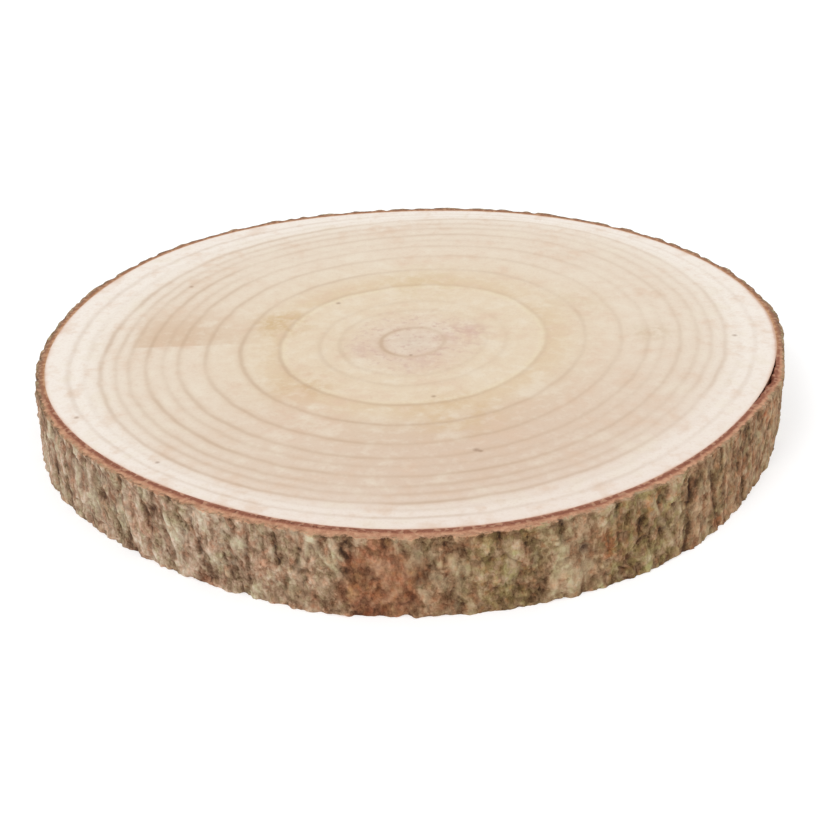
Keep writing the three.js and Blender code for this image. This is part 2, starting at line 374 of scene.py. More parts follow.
# The photograph's view
FRAME_PIXELS = 830
CAMERA_ELEVATION = 27.3
CAMERA_DISTANCE = 0.75
CAMERA_ROLL = -2.04
CAMERA_LENS = 79.7
SENSOR_WIDTH = 36
MIDDLE_PIXEL = (412.8, 409.3)
CLIP_START = 0.01


def smoothstep(value, low, high):
    share = np.clip((value - low) / (high - low), 0, 1)
    return share * share * (3 - 2 * share)


def bell(distance, reach):
    """One rise that is 1 in its middle and fades out at its reach."""
    return 1 - smoothstep(np.abs(distance), 0, reach)


def lerp(start, end, share):
    return start + (end - start) * share


def sum_lobes(lobes, angle):
    return sum(height * np.cos(waves * (angle - math.radians(peak))) for waves, height, peak in lobes)


def turn_from(angle, start):
    """Shortest way round from one angle to another, in degrees."""
    return np.mod(np.degrees(angle) - start + 180, 360) - 180


def band(angle, start, end, softness):
    """1 between two angles, fading out over the softness on both sides."""
    half = (end - start) / 2
    return 1 - smoothstep(np.abs(turn_from(angle, start + half)), half - softness, half + softness)


def in_sectors(angle, sectors):
    """The largest share among the stretches that each place lies in."""
    return np.maximum.reduce([
        band(angle, start, end, softness) * share
        for start, end, softness, share in sectors
    ])


def scatter_cells(cells):
    """Middles of the bark's plates or flakes, with how far each stands proud and how open its cracks are."""
    state = cells["seed"]
    rows = []
    for column in range(cells["columns"]):
        stagger = 0 if column % 2 == 0 else 0.5
        for row in range(cells["rows"]):
            draws = []
            for _ in range(4):
                state = (state * DRAW_MULTIPLIER) % DRAW_MODULUS
                draws.append(state / DRAW_MODULUS)
            across = column + 0.5 + cells["jitter"] * (2 * draws[0] - 1)
            up = cells["lowest"] + row + stagger + cells["jitter"] * (2 * draws[1] - 1)
            rows.append((across, up, 2 * draws[2] - 1, draws[3]))
    return np.array(rows).reshape(cells["columns"], cells["rows"], 4)


def crack_pattern(cells, across, up, width):
    """The step of the cell each place lies in, from -1 to 1, and how deep in a crack it is, from 0 to 1."""
    grid = scatter_cells(cells)
    middle = np.floor(across).astype(int)
    column = middle[:, None] + np.arange(-COLUMNS_BESIDE, COLUMNS_BESIDE + 1)
    wrapped = np.mod(column, cells["columns"])
    near = grid[wrapped]
    near_across = (near[..., 0] + (column - wrapped)[..., None]).reshape(len(across), -1)
    near_up = near[..., 1].reshape(len(across), -1)
    near_step = near[..., 2].reshape(len(across), -1)
    near_open = near[..., 3].reshape(len(across), -1)
    squares = (near_across - across[:, None]) ** 2 + (near_up - up[:, None]) ** 2
    own = np.argmin(squares, axis=1)[:, None]

    def of_own(values):
        return np.take_along_axis(values, own, axis=1)

    sideways = near_across - of_own(near_across)
    apart = np.hypot(sideways, near_up - of_own(near_up))
    apart = np.maximum(apart, HAIR)
    to_border = (squares - of_own(squares)) / (2 * apart)
    direction = lerp(CROSS_FURROW_SHARE, 1, np.abs(sideways) / apart)
    openness = (near_open + of_own(near_open)) / 2
    strength = direction * lerp(SHALLOWEST_FURROW, 1, openness)
    crack = strength * bell(to_border, width)
    np.put_along_axis(crack, own, 0, axis=1)
    return of_own(near_step)[:, 0], crack.max(axis=1)


def unrolled_noise(angle, height, cells_round, cells_up, seed):
    """Smooth noise between -1 and 1 over the trunk's unrolled side, closed all the way round."""
    rows = math.ceil(cells_up * (1 + 2 * NOISE_MARGIN)) + 2
    grid = np.random.default_rng(seed).uniform(-1, 1, (cells_round, rows))
    across = np.mod(angle / (2 * math.pi), 1) * cells_round
    up = np.clip(height / SLICE_THICKNESS + NOISE_MARGIN, 0, 1 + 2 * NOISE_MARGIN) * cells_up
    column = np.floor(across).astype(int)
    row = np.floor(up).astype(int)
    share_across = smoothstep(across - column, 0, 1)
    share_up = smoothstep(up - row, 0, 1)
    left = np.mod(column, cells_round)
    right = np.mod(column + 1, cells_round)
    low = lerp(grid[left, row], grid[right, row], share_across)
    high = lerp(grid[left, row + 1], grid[right, row + 1], share_across)
    return lerp(low, high, share_up)


def sized_noise(angle, height, noise):
    cells_round, cells_up, size, seed = noise
    return size * unrolled_noise(angle, height, cells_round, cells_up, seed)


def crags(angle, height):
    """Rough lumps with sharp creases between them: how far they stand up, and the same for their colour."""
    sideways = sum(sized_noise(angle, height, warp) for warp in CRAG_SIDE_WARPS)
    upward = sum(sized_noise(angle, height, warp) for warp in CRAG_UP_WARPS)
    total = 0
    lumps = 0
    for cells_round, cells_up, size, seed in CRAGS:
        noise = unrolled_noise(angle + sideways / WOOD_RADIUS, height + upward, cells_round, cells_up, seed)
        lump = np.abs(noise) * CRAG_STEEPNESS - CRAG_SINK
        total = total + size * lump
        lumps = lumps + lump / len(CRAGS)
    return total, lumps


def along_lines(angle, height, lines, half):
    """1 on the nearest of some lines on the bark and 0 at half their width, thinner towards their ends."""
    total = 0
    for start_angle, start_height, end_angle, end_height in lines:
        across = np.radians(turn_from(angle, start_angle)) * WOOD_RADIUS
        up = height - start_height * MM
        length_across = math.radians(end_angle - start_angle) * WOOD_RADIUS
        length_up = (end_height - start_height) * MM
        square = length_across ** 2 + length_up ** 2
        place = np.clip((across * length_across + up * length_up) / square, 0, 1)
        apart = np.hypot(across - place * length_across, up - place * length_up)
        total = np.maximum(total, bell(apart, half) * (1 - LINE_THINNING * place))
    return total


def bark_damage(angle, height):
    scar_half = SCAR["half"] * (1 - height / SCAR["top"])
    from_scar = np.abs(turn_from(angle, SCAR["angle"]))
    scar = 1 - smoothstep(from_scar, scar_half - SCAR["softness"], scar_half)
    sideways = np.radians(turn_from(angle, PIT["angle"])) * WOOD_RADIUS
    pit = bell(np.hypot(sideways, height - PIT["height"]), PIT["radius"])
    return scar, pit


def bark_lift(angle, height):
    share = (height / SLICE_THICKNESS) ** LIFT["top_share"]
    return LIFT["distance"] * share * bell(turn_from(angle, LIFT["angle"]), LIFT["half"])


def wood_outline(angle, height):
    lean = LEAN_MEAN + sum_lobes(LEAN_LOBES, angle)
    for middle, half, distance in SWELLINGS:
        lean = lean + distance * bell(turn_from(angle, middle), half)
    return WOOD_RADIUS + sum_lobes(WOOD_LOBES, angle) + lean * (1 - height / SLICE_THICKNESS)


def middle_shift():
    """Where the solids have the trunk's axis, found by setting the wood's outline on its solid."""
    angle = np.linspace(0, 2 * math.pi, OUTLINE_POINTS)[:, None]
    height = np.array([[0, SLICE_THICKNESS]])
    radius = wood_outline(angle, height)
    across = radius * np.cos(angle)
    along = radius * np.sin(angle)
    low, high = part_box("wood")
    own = Vector(((across.min() + across.max()) / 2, (along.min() + along.max()) / 2))
    return (low.xy + high.xy) / 2 - own


SHIFT = middle_shift()


def deselect_all():
    if bpy.context.object and bpy.context.object.mode != "OBJECT":
        bpy.ops.object.mode_set(mode="OBJECT")
    bpy.ops.object.select_all(action="DESELECT")


def section_plane(name, near, far):
    """The outline of the trunk's section over +X, from one radius to another."""
    deselect_all()
    middle = ((near + far) / 2, 0, SLICE_THICKNESS / 2)
    bpy.ops.mesh.primitive_plane_add(size=1, location=middle, rotation=(math.pi / 2, 0, 0))
    piece = bpy.context.object
    piece.name = name
    piece.data.name = name
    piece.scale = (far - near, SLICE_THICKNESS, 1)
    bpy.ops.object.transform_apply(location=True, rotation=True, scale=True)
    bpy.ops.object.mode_set(mode="EDIT")
    bpy.ops.mesh.delete(type="ONLY_FACE")
    bpy.ops.object.mode_set(mode="OBJECT")
    return piece


def select_edges(piece, wanted):
    """Selects only the edges whose two ends the test wants, and leaves the piece in edit mode."""
    bpy.ops.object.mode_set(mode="OBJECT")
    mesh = piece.data
    mesh.vertices.foreach_set("select", [False] * len(mesh.vertices))
    mesh.edges.foreach_set("select", [False] * len(mesh.edges))
    mesh.polygons.foreach_set("select", [False] * len(mesh.polygons))
    for edge in mesh.edges:
        ends = [mesh.vertices[index] for index in edge.vertices]
        if wanted(*(end.co for end in ends)):
            edge.select = True
            for end in ends:
                end.select = True
    bpy.ops.object.mode_set(mode="EDIT")
    bpy.ops.mesh.select_mode(type="EDGE")


def at_height(height):
    return lambda first, second: max(abs(first.z - height), abs(second.z - height)) < HAIR


def at_radius(radius):
    return lambda first, second: max(abs(first.x - radius), abs(second.x - radius)) < HAIR


def runs_round(first, second):
    """True for an edge that goes round the trunk's axis rather than along the section."""
    sideways = first.x * second.y - first.y * second.x
    return abs(sideways) > HAIR * WOOD_RADIUS


def spin_section(piece, steps):
    """Turns the section once round the trunk's axis and closes the seam and the poles."""
    bpy.ops.mesh.select_all(action="SELECT")
    bpy.ops.mesh.spin(steps=steps, angle=2 * math.pi, center=(0, 0, 0), axis=(0, 0, 1))
    bpy.ops.mesh.select_all(action="SELECT")
    bpy.ops.mesh.remove_doubles(threshold=WELD)
    bpy.ops.mesh.normals_make_consistent(inside=False)
    bpy.ops.object.mode_set(mode="OBJECT")


def read_points(piece):
    points = np.empty(len(piece.data.vertices) * 3)
    piece.data.vertices.foreach_get("co", points)
    return points.reshape(-1, 3)


def write_points(piece, radius, angle, height):
    """Sets each vertex at its place round the trunk, never outside the solids' own box."""
    points = np.stack([radius * np.cos(angle) + SHIFT.x, radius * np.sin(angle) + SHIFT.y, height], axis=1)
    points = np.clip(points, np.array(cad_box[0]), np.array(cad_box[1]))
    piece.data.vertices.foreach_set("co", points.ravel())
    piece.data.update()


def add_attribute(piece, name, values):
    layer = piece.data.attributes.new(name, "FLOAT", "POINT")
    layer.data.foreach_set("value", np.asarray(values, dtype=np.float32))


def ring_reach(angle, radius):
    """How far out in the growth rings each place of the wood is, as a radius in a trunk that is round."""
    across = radius * np.cos(angle) - PITH.x
    along = radius * np.sin(angle) - PITH.y
    from_pith = np.hypot(across, along)
    ring_angle = np.arctan2(along, across)
    toward = PITH.x * np.cos(ring_angle) + PITH.y * np.sin(ring_angle)
    edge = wood_outline(ring_angle, SLICE_THICKNESS) - toward
    share = from_pith / edge
    reach = share
    for _ in range(RING_ROUNDS):
        growth = np.minimum(reach / WIDEST_WOBBLE, np.clip((1 - reach) / (1 - WIDEST_WOBBLE), 0, 1))
        reach = share - sum_lobes(RING_LOBES, ring_angle) * growth
    return reach * sum(width for width, _ in YEARS), ring_angle


def make_wood():
    piece = section_plane("wood_disc", 0, WOOD_RADIUS)
    select_edges(piece, at_radius(0))
    bpy.ops.mesh.delete(type="EDGE")
    for wanted, cuts in (
        (at_height(SLICE_THICKNESS), WOOD_TOP_CUTS),
        (at_height(0), WOOD_BASE_CUTS),
        (at_radius(WOOD_RADIUS), WOOD_SIDE_CUTS),
    ):
        select_edges(piece, wanted)
        bpy.ops.mesh.subdivide(number_cuts=cuts)
    spin_section(piece, WOOD_STEPS)
    points = read_points(piece)
    share = np.hypot(points[:, 0], points[:, 1]) / WOOD_RADIUS
    angle = np.arctan2(points[:, 1], points[:, 0])
    height = np.clip(points[:, 2], 0, SLICE_THICKNESS)
    radius = share * wood_outline(angle, height)
    write_points(piece, radius, angle, height)
    reach, ring_angle = ring_reach(angle, radius)
    widths = np.array([width for width, _ in YEARS])
    darkness = np.array([dark for _, dark in YEARS])
    edges = np.cumsum(np.append(0, widths))
    shown = RINGS_SHOWN + sum_lobes(RINGS_SHOWN_LOBES, ring_angle)
    add_attribute(piece, "age", np.interp(reach, edges, np.arange(len(edges))))
    add_attribute(piece, "width", np.interp(reach, (edges[1:] + edges[:-1]) / 2, widths))
    add_attribute(piece, "line", np.interp(reach, edges, np.append(0, darkness)) * shown)
    reach = reach / edges[-1]
    add_attribute(piece, "reach", reach)
    faded = 1 - FRONT_ZONE["fade"] * smoothstep(reach, *FRONT_ZONE["end"])
    zone = smoothstep(reach, *FRONT_ZONE["start"]) * faded
    from_front = turn_from(ring_angle, FRONT_ZONE["angle"])
    add_attribute(piece, "front", zone * bell(from_front, FRONT_ZONE["half"]))
    rim = RIM_WIDTH + RIM_SPREAD["width"] * bell(turn_from(angle, RIM_SPREAD["angle"]), RIM_SPREAD["half"])
    from_edge = (1 - share) * wood_outline(angle, height)
    add_attribute(piece, "rim", rim - from_edge)
    return piece


def bark_inside(angle, height):
    """The radius of the bark's inner wall, which leaves the wood only at the crevice."""
    lift = bark_lift(angle, height)
    opening = smoothstep(height, SLICE_THICKNESS - CREVICE_DEPTH, SLICE_THICKNESS)
    ragged = lift / LIFT["distance"] * sized_noise(angle, height * 0, CREVICE_RAGGED)
    return wood_outline(angle, height) + SEAM + np.maximum(lift * CREVICE_SHARE + ragged, 0) * opening


def relief_strength(angle, height, damage):
    """How strong the finer relief is at each place, from 0 to 1."""
    near_top = smoothstep(height, CALM_TOP["low"], CALM_TOP["high"])
    strength = (1 - CALM_DAMAGE * damage) * (1 - CALM_TOP["share"] * near_top)
    return strength * (1 - in_sectors(angle, CALM_SECTORS))


def bark_outside(angle, height):
    """The radius of the bark's outer side, and the masks that colour it."""
    wander = np.sin(2 * math.pi * height / WANDER_HEIGHT + WANDER_WAVES * angle)
    turns = angle / (2 * math.pi)
    step, furrow = crack_pattern(
        PLATES, turns * PLATES["columns"] + FURROW_WANDER * wander, height / PLATES["height"], FURROW_WIDTH
    )
    drift = sized_noise(angle, height, FLAKE_DRIFT)
    flake_step, flake_crack = crack_pattern(
        FLAKES, turns * FLAKES["columns"] + drift, height / FLAKES["height"], FLAKE_CRACK_WIDTH
    )
    scar, pit = bark_damage(angle, height)
    shoulder = SHOULDER["height"] * bell(turn_from(angle, SHOULDER["angle"]), SHOULDER["half"])
    mean = BARK_THICKNESS + sum_lobes(BARK_LOBES, angle) + shoulder
    thickness = mean * (1 - FINE_FURROW_SHARE * furrow) + PLATE_STEP * step * (1 - furrow)
    thickness = thickness - SCAR["depth"] * scar - PIT["depth"] * pit
    fine = FLAKE_STEP * flake_step * (1 - flake_crack) - FLAKE_CRACK * flake_crack
    rough, lumps = crags(angle, height)
    wavy = angle + sized_noise(angle, height, LINE_WOBBLE) / WOOD_RADIUS
    ridge = along_lines(wavy, height, RIDGES, RIDGE_HALF)
    groove = along_lines(wavy, height, GROOVES, GROOVE_HALF)
    rough = rough * (1 - RIDGE_SMOOTHING * ridge) + RIDGE_HEIGHT * ridge - GROOVE_DEPTH * groove
    thickness = thickness + (fine + rough) * relief_strength(angle, height, np.maximum(scar, pit))
    nearest = wood_outline(angle, height) + BARK_GAP + bark_lift(angle, height)
    return nearest + np.maximum(thickness, mean * THINNEST_SHARE), {
        "furrow": furrow,
        "flake": flake_crack,
        "tone": (step + flake_step) / 2,
        "lumps": lumps * (1 - ridge / 2),
        "ridge": ridge,
        "groove": groove,
        "pit": pit,
    }


def chipped(angle, share, cells_round, seed, more):
    """How far the sawn edge is chipped away, in full at the bark's outer side."""
    noise = unrolled_noise(angle, angle * 0, cells_round, 1, seed)
    return CHIP_DEPTH * np.clip(noise + more, 0, 1) * smoothstep(share, CHIP_START, 1)


def make_bark():
    piece = section_plane("bark_ring", WOOD_RADIUS, WOOD_RADIUS + BARK_THICKNESS)
    for wanted, cuts in (
        (at_radius(WOOD_RADIUS + BARK_THICKNESS), BARK_SIDE_CUTS),
        (at_height(SLICE_THICKNESS), BARK_TOP_CUTS),
        (at_height(0), BARK_BASE_CUTS),
        (at_radius(WOOD_RADIUS), BARK_INNER_CUTS),
    ):
        select_edges(piece, wanted)
        bpy.ops.mesh.subdivide(number_cuts=cuts)
    spin_section(piece, BARK_STEPS)
    select_edges(piece, runs_round)
    bpy.ops.mesh.subdivide(number_cuts=BARK_ROUND_CUTS)
    bpy.ops.object.mode_set(mode="OBJECT")
    points = read_points(piece)
    share = np.clip((np.hypot(points[:, 0], points[:, 1]) - WOOD_RADIUS) / BARK_THICKNESS, 0, 1)
    angle = np.arctan2(points[:, 1], points[:, 0])
    height = np.clip(points[:, 2], 0, SLICE_THICKNESS)
    closer_up = SLICE_THICKNESS * (1 - (1 - height / SLICE_THICKNESS) ** CREVICE_ROWS_UP)
    height = np.where(share < HAIR, closer_up, height)
    mark_cut_faces(piece)
    outside, masks = bark_outside(angle, height)
    radius = lerp(bark_inside(angle, height), outside, share)
    near_top = smoothstep(height, SLICE_THICKNESS - CHIP_REACH, SLICE_THICKNESS)
    near_base = 1 - smoothstep(height, 0, CHIP_REACH)
    lowered = near_top * chipped(angle, share, *TOP_CHIPS)
    raised = near_base * chipped(angle, share, *BASE_CHIPS)
    write_points(piece, radius, angle, height - lowered + raised)
    for name in ("moss", "pale", "rind"):
        masks[name] = in_sectors(angle, SECTORS[name])
    masks["rust"] = np.maximum(rust_spots(angle, height), in_sectors(angle, SECTORS["rust"]))
    masks["dashed"] = lerp(LEAST_DASHED, 1, in_sectors(angle, SECTORS["dashed"]))
    masks["scar"] = scar_stain(angle, height)
    masks["lifted"] = bark_lift(angle, height) / LIFT["distance"]
    masks["depth"] = share
    for name, values in masks.items():
        add_attribute(piece, name, values)
    return piece


def scar_stain(angle, height):
    """Where the scar has coloured the bark, a little wider than the scar itself."""
    from_scar = np.abs(turn_from(angle, SCAR["angle"])) + sized_noise(angle, height, SCAR_STAIN_EDGE)
    half = np.interp(height, *zip(*SCAR_STAIN))
    return 1 - smoothstep(from_scar, half - SCAR_STAIN_SOFTNESS, half + SCAR_STAIN_SOFTNESS)


def rust_spots(angle, height):
    return np.maximum.reduce([
        band(angle, start, end, RUST_SOFTNESS) * bell(height - middle, reach)
        for start, end, middle, reach in RUST_SPOTS
    ])


def mark_cut_faces(piece):
    """Faces on the two saw cuts and on the inner wall take the second finish."""
    mesh = piece.data
    centres = np.empty(len(mesh.polygons) * 3)
    mesh.polygons.foreach_get("center", centres)
    centres = centres.reshape(-1, 3)
    outer = np.hypot(centres[:, 0], centres[:, 1]) > WOOD_RADIUS + BARK_THICKNESS * OUTER_FACE_SHARE
    mesh.polygons.foreach_set("material_index", np.where(outer, 0, 1).astype(np.int32))


class Shade:
    """One socket of a finish, so that shader maths reads as plain expressions."""

    def __init__(self, finish, socket):
        self.finish = finish
        self.socket = socket

    def math(self, operation, *others):
        made = self.finish.node("ShaderNodeMath", {"operation": operation}, dict(enumerate([self, *others])))
        return made["Value"]

    def __add__(self, other):
        return self.math("ADD", other)

    __radd__ = __add__

    def __mul__(self, other):
        return self.math("MULTIPLY", other)

    __rmul__ = __mul__

    def __sub__(self, other):
        return self.math("SUBTRACT", other)

    def __rsub__(self, other):
        return (self * -1) + other

    def larger(self, other):
        return self.math("MAXIMUM", other)

    def part_of_one(self):
        return self.math("FRACT")

    def size(self):
        return self.math("ABSOLUTE")

    def between(self, low, high):
        """0 at low, 1 at high and a smooth rise from one to the other. Low may be the larger."""
        made = self.finish.node(
            "ShaderNodeMapRange",
            {"interpolation_type": "SMOOTHSTEP"},
            {"Value": self, "From Min": low, "From Max": high},
        )
        return made["Result"]


class Made:
    """A node's outputs by name."""

    def __init__(self, finish, node):
        self.finish = finish
        self.node = node

    def __getitem__(self, name):
        return Shade(self.finish, self.node.outputs[name])


class Finish:
    """One material and the nodes that make it."""

    def __init__(self, name, light):
        self.light = light
        self.material = bpy.data.materials.new(name)
        self.material.use_nodes = True
        self.tree = self.material.node_tree
        self.tree.nodes.clear()
        self.place = self.node("ShaderNodeTexCoord")["Object"]

    def node(self, kind, settings=None, sockets=None):
        made = self.tree.nodes.new(kind)
        for name, value in (settings or {}).items():
            if name == "tones":
                self.set_tones(made.color_ramp, value)
            else:
                setattr(made, name, value)
        for name, value in (sockets or {}).items():
            if isinstance(value, Shade):
                self.tree.links.new(value.socket, made.inputs[name])
            else:
                made.inputs[name].default_value = value
        return Made(self, made)

    def set_tones(self, ramp, tones):
        while len(ramp.elements) < len(tones):
            ramp.elements.new(0.5)
        for element, (place, steps) in zip(ramp.elements, tones):
            element.position = place
            element.color = self.paint(steps)

    def paint(self, steps):
        """A colour as a screen shows it, made the surface's own under this finish's light."""
        shown = Color([step / 255 for step in steps]).from_srgb_to_scene_linear()
        return (*(min(channel / self.light, BRIGHTEST) for channel in shown), 1)

    def attribute(self, name):
        return self.node("ShaderNodeAttribute", {"attribute_name": name})["Fac"]

    def mix(self, share, first, second, blend="MIX"):
        """One colour into another. Colours go in at the node's sockets 6 and 7 and come out at 2."""
        made = self.node(
            "ShaderNodeMix", {"data_type": "RGBA", "blend_type": blend}, {0: share, 6: first, 7: second}
        )
        return Shade(self, made.node.outputs[2])

    def over(self, share, color, steps):
        """The colour painted over with another, as far as the share says."""
        return self.mix(share, color, self.paint(steps))

    def tint(self, share, color, factors):
        """The colour times a factor for each channel, as far as the share says."""
        return self.mix(share, color, (*factors, 1), blend="MULTIPLY")

    def layered(self, apply, color, noise, layers, where=1):
        """The colour under layers that come in between two levels of a noise, only where a mask says."""
        for low, high, share, look in layers:
            color = apply(noise.between(low, high) * where * share, color, look)
        return color

    def stained(self, mask, color, look):
        """The colour tinted and then painted over where the mask is."""
        color = self.tint(mask * look["tint_share"], color, look["tint"])
        return self.over(mask * look["share"], color, look["color"])

    def stretched(self, scale, offset):
        """Object coordinates times a scale for each axis."""
        sockets = {"Vector": self.place, "Location": offset, "Scale": scale}
        return self.node("ShaderNodeMapping", None, sockets)["Vector"]

    def axis(self, name, middle=0):
        """One of the object's coordinates, counted from a middle."""
        return self.node("ShaderNodeSeparateXYZ", None, {"Vector": self.place})[name] - middle

    def noise(self, size, detail, roughness=0.55, stretch=(1, 1, 1), offset=(0, 0, 0)):
        """Noise from 0 to 1 whose grains are about the size given, in metres."""
        sockets = {
            "Vector": self.stretched(stretch, offset),
            "Scale": 1 / size,
            "Detail": detail,
            "Roughness": roughness,
        }
        return self.node("ShaderNodeTexNoise", None, sockets)["Fac"]

    def ramp(self, value, tones):
        return self.node("ShaderNodeValToRGB", {"tones": tones}, {"Fac": value})["Color"]

    def surface(self, color, grain, relief, look):
        """The finished surface, with a grain that varies how rough it is and a relief for its bumps."""
        bumps = {"Height": relief, "Distance": look["bumps"], "Strength": look["strength"]}
        sockets = {
            "Base Color": color,
            "Roughness": grain * look["varies"] + look["roughness"],
            "Normal": self.node("ShaderNodeBump", None, bumps)["Normal"],
            "Specular IOR Level": look["gloss"],
        }
        shader = self.node("ShaderNodeBsdfPrincipled", None, sockets)
        self.node("ShaderNodeOutputMaterial", None, {"Surface": shader["BSDF"]})


def spot(finish, x, y, size, softness):
    """1 in a round patch of the cut face and 0 outside it. The size is its radius."""
    middle = (x + SHIFT.x, y + SHIFT.y, SLICE_THICKNESS)
    made = finish.node("ShaderNodeVectorMath", {"operation": "DISTANCE"}, {0: finish.place, 1: middle})
    return made["Value"].between(size, size * (1 - softness))


def ring_marks(finish, reach, drift):
    """The soft shade beside each ring's dark end, and the fine line at it."""
    turn = (finish.attribute("age") + 0.5).part_of_one() - 0.5
    from_line = (turn * finish.attribute("width") + drift).size()
    shown = finish.noise(**WOOD_NOISES["shown"]).between(*RING_SHOWN_LEVELS)
    strength = finish.attribute("line") * (shown * (1 - RING_FAINTEST) + RING_FAINTEST)
    shade = from_line.between(*RING_SHADE["distance"]) * strength * reach.between(*RING_SHADE_END)
    return shade, from_line.between(*RING_LINE["distance"]) * strength


def wood_finish():
    finish = Finish("sanded_end_grain", TOP_LIGHT)
    drift = (finish.noise(**WOOD_NOISES["wobble"]) - 0.5) * RING_DRIFT
    reach = finish.attribute("reach") + drift * (1 / WOOD_RADIUS)
    color = finish.ramp(reach, WOOD_TONES)
    color = finish.tint(finish.attribute("front"), color, FRONT_TINT)
    mottle = finish.noise(**WOOD_NOISES["mottle"]).between(*STAIN_LEVELS)
    for x, y, size, softness, share, steps in WOOD_STAINS:
        color = finish.over(spot(finish, x, y, size, softness) * mottle * share, color, steps)
    patch = spot(finish, PATCH["x"], PATCH["y"], PATCH["size"], PATCH["softness"])
    patch = patch * finish.axis("Y", SHIFT.y).between(*PATCH["line"])
    patch = patch * (finish.axis("X", SHIFT.x) + drift * PATCH["ragged"]).between(*PATCH["left"])
    color = finish.over(patch * PATCH["share"], color, PATCH["color"])

    cloud = finish.noise(**WOOD_NOISES["cloud"])
    color = finish.layered(finish.over, color, cloud, CLOUD_LAYERS)
    color = finish.layered(finish.over, color, finish.noise(**WOOD_NOISES["wisps"]), WISP_LAYERS)
    core = finish.noise(**WOOD_NOISES["core"])
    color = finish.layered(finish.over, color, core, CORE_LAYERS, reach.between(*CORE_REACH))
    shade, line = ring_marks(finish, reach, drift)
    color = finish.over(shade * RING_SHADE["share"], color, RING_SHADE["color"])
    color = finish.over(line * RING_LINE["share"], color, RING_LINE["color"])
    grain = finish.noise(**WOOD_NOISES["grain"])
    color = finish.layered(finish.over, color, grain, GRAIN_LAYERS)
    for x, y, size in WOOD_SPECKS:
        speck = spot(finish, x, y, size, SPECK["softness"])
        color = finish.over(speck * SPECK["share"], color, SPECK["color"])

    rim = finish.attribute("rim")
    color = finish.layered(finish.over, color, rim + (cloud - 0.5) * RIM_RAGGED, RIM_LAYERS)
    wall = finish.axis("Z").between(*WALL["height"]) * rim.between(*WALL["rim"])
    color = finish.over(wall * WALL["share"], color, WALL["color"])
    finish.surface(color, grain, grain + shade * RING_SHADE["relief"], WOOD_SURFACE)
    return finish.material


def bark_color(finish):
    """The outer bark's mottled brown, and the noises that it is made of."""
    noises = {name: finish.noise(**BARK_NOISES[name]) for name in NOISE_WEIGHTS}
    creases = (noises["chunks"] - 0.5).size().between(CREASE_HALF, 0)
    level = creases * CREASE_WEIGHT + BARK_LEVEL
    # Painted shade in part: the relief darkens furrows, grooves and cracks and lightens lumps and ridges
    for name, weight in RELIEF_TONE_AND_SHADE_WEIGHTS.items():
        level = level + finish.attribute(name) * weight
    for name, weight in NOISE_WEIGHTS.items():
        level = level + (noises[name] - 0.5) * weight
    color = finish.ramp(level, BARK_TONES)
    color = finish.layered(finish.tint, color, finish.noise(**BARK_NOISES["hue"]), HUE_TINTS)
    color = finish.layered(finish.tint, color, finish.noise(**BARK_NOISES["broad"]), BROAD_TINTS)
    patches, streaks = (noises[name].between(*levels) for name, levels in LICHEN_LEVELS.items())
    lichen = (patches * streaks).larger(finish.attribute("ridge"))
    return finish.stained(lichen, color, LICHEN), noises


def fresh_cut(finish, height, noises):
    """1 where the saw has bared the orange bark at the top edge, with a ragged border lower down."""
    ragged = sum(noises[name] - 0.5 for name in ("grains", "chunks", "streaks")) * FRESH["ragged"]
    return (ragged - finish.attribute("rind") * FRESH["rind"] + height).between(*FRESH["height"])


def bark_face_finish():
    finish = Finish("furrowed_bark", SIDE_LIGHT)
    color, noises = bark_color(finish)
    # Painted light on the pale stretch at the left, and painted shade on the rest of the bark
    pale = finish.attribute("pale")
    color = finish.tint(pale, color, PAINTED_LIGHT_TINT)
    color = finish.tint(1 - pale, color, PAINTED_SHADE_TINT)
    mossy = finish.attribute("moss") * (1 - finish.attribute("ridge") * MOSS_OFF_RIDGES)
    color = finish.layered(finish.tint, color, finish.noise(**BARK_NOISES["moss"]), MOSS_TINTS, mossy)
    rusty = finish.attribute("rust")
    color = finish.layered(finish.tint, color, finish.noise(**BARK_NOISES["rust"]), RUST_TINTS, rusty)
    scar = finish.attribute("scar")
    color = finish.stained(scar, color, SCAR_LOOK)
    color = finish.layered(finish.tint, color, finish.noise(**BARK_NOISES["embers"]), EMBER_TINTS, scar)
    # Painted shade inside the knot hole
    color = finish.over(finish.attribute("pit") * PIT_PAINTED_SHADE["share"], color, PIT_PAINTED_SHADE["color"])
    fresh = fresh_cut(finish, finish.axis("Z"), noises)
    color = finish.over(fresh * FRESH["share"], color, FRESH["color"])
    color = finish.layered(finish.over, color, noises["chunks"], FRESH_LAYERS, fresh)
    relief = noises["streaks"] + noises["chunks"] * CHUNK_RELIEF + noises["grains"] * GRAIN_RELIEF
    finish.surface(color, noises["grains"], relief, BARK_SURFACE)
    return finish.material


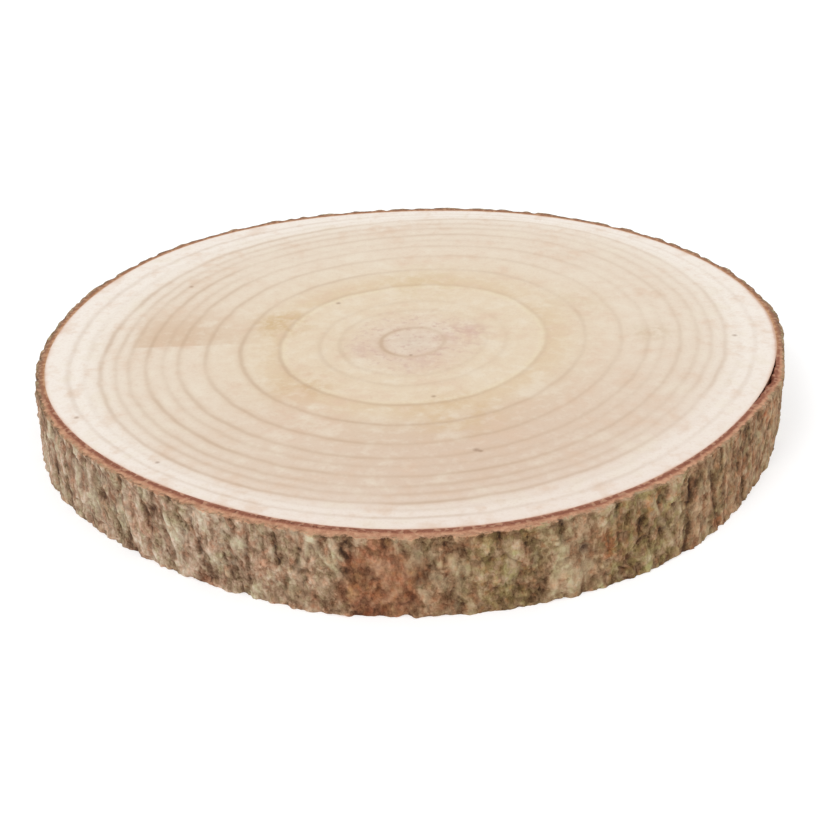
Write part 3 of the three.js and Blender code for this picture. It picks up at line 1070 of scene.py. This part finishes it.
def bark_cut_finish():
    finish = Finish("sawn_bark", TOP_LIGHT)
    outer, noises = bark_color(finish)
    ragged = (noises["chunks"] + noises["streaks"]) * 0.5 - 0.5
    from_wood = finish.attribute("depth")
    depth = from_wood + ragged * CUT_RAGGED
    rind = finish.attribute("rind").between(*RIND_LEVELS)
    color = finish.mix(rind, finish.ramp(depth, FRONT_CUT_TONES), finish.ramp(depth, BACK_CUT_TONES))
    dashed = depth.between(*DASH_DEPTH["near"]) * depth.between(*DASH_DEPTH["far"])
    dashed = dashed * (1 - rind) * finish.attribute("dashed")
    color = finish.layered(finish.over, color, finish.noise(**BARK_NOISES["dashes"]), DASH_LAYERS, dashed)
    color = finish.layered(finish.over, color, noises["grains"], CUT_GRAIN_LAYERS)
    color = finish.layered(finish.over, color, noises["chunks"], CUT_CHUNK_LAYERS)
    crust = (from_wood + ragged * CRUST["ragged"]).between(*CRUST["depth"])
    bared = fresh_cut(finish, SLICE_THICKNESS, noises)
    color = finish.mix(crust * (1 - bared) * CRUST["share"], color, outer)
    # The crevice's wall in dark red-brown: partly its own colour, partly painted shade
    lifted = finish.attribute("lifted").between(*CREVICE_BROWN_AND_SHADE["lifted"])
    crevice = lifted * from_wood.between(*CREVICE_BROWN_AND_SHADE["depth"])
    color = finish.over(crevice * CREVICE_BROWN_AND_SHADE["share"], color, CREVICE_BROWN_AND_SHADE["color"])
    finish.surface(color, noises["grains"], noises["grains"] + noises["chunks"], CUT_SURFACE)
    return finish.material


def make_floor():
    deselect_all()
    bpy.ops.mesh.primitive_plane_add(size=FLOOR["size"], location=(0, 0, FLOOR["height"]))
    floor = bpy.context.object
    floor.name = "floor"
    material = bpy.data.materials.new("studio_white")
    material.use_nodes = True
    inputs = material.node_tree.nodes["Principled BSDF"].inputs
    inputs["Base Color"].default_value = (FLOOR["grey"], FLOOR["grey"], FLOOR["grey"], 1)
    inputs["Roughness"].default_value = FLOOR["roughness"]
    inputs["Specular IOR Level"].default_value = 0
    inputs["Emission Color"].default_value = (1, 1, 1, 1)
    inputs["Emission Strength"].default_value = FLOOR["glow"]
    floor.data.materials.append(material)


def make_lights():
    world = bpy.data.worlds.new("studio")
    world.use_nodes = True
    sky = world.node_tree.nodes["Background"].inputs
    sky["Color"].default_value = (1, 1, 1, 1)
    sky["Strength"].default_value = SKY_STRENGTH
    bpy.context.scene.world = world
    for name, strength, spread, direction in SUNS:
        lamp = bpy.data.lights.new(name, "SUN")
        lamp.energy = strength
        lamp.angle = math.radians(spread)
        light = bpy.data.objects.new(name, lamp)
        light.rotation_euler = Vector(direction).to_track_quat("Z", "Y").to_euler()
        bpy.context.scene.collection.objects.link(light)


def make_camera():
    elevation = math.radians(CAMERA_ELEVATION)
    roll = math.radians(CAMERA_ROLL)
    back = Vector((0, -math.cos(elevation), math.sin(elevation)))
    up = Vector((0, math.sin(elevation), math.cos(elevation)))
    right = Vector((1, 0, 0))
    camera_right = right * math.cos(roll) + up * math.sin(roll)
    camera_up = up * math.cos(roll) - right * math.sin(roll)
    turn = Matrix((camera_right, camera_up, back)).transposed()
    data = bpy.data.cameras.new("camera")
    camera = bpy.data.objects.new("camera", data)
    bpy.context.scene.collection.objects.link(camera)
    camera.rotation_euler = turn.to_euler()
    camera.location = Vector((SHIFT.x, SHIFT.y, 0)) + back * CAMERA_DISTANCE
    data.sensor_width = SENSOR_WIDTH
    data.lens = CAMERA_LENS
    data.shift_x = (FRAME_PIXELS / 2 - MIDDLE_PIXEL[0]) / FRAME_PIXELS
    data.shift_y = (MIDDLE_PIXEL[1] - FRAME_PIXELS / 2) / FRAME_PIXELS
    data.clip_start = CLIP_START
    bpy.context.scene.camera = camera


make_camera()
make_floor()
make_lights()

wood = make_wood()
wood.data.materials.append(wood_finish())
bark = make_bark()
bark.data.materials.append(bark_face_finish())
bark.data.materials.append(bark_cut_finish())
for piece, node in ((wood, "wood"), (bark, "bark")):
    deselect_all()
    piece.select_set(True)
    bpy.context.view_layer.objects.active = piece
    bpy.ops.object.shade_smooth_by_angle(angle=math.radians(SMOOTHED_ANGLE))
    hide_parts(node)
    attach(piece, "root")

bpy.context.scene.view_settings.view_transform = "Standard"
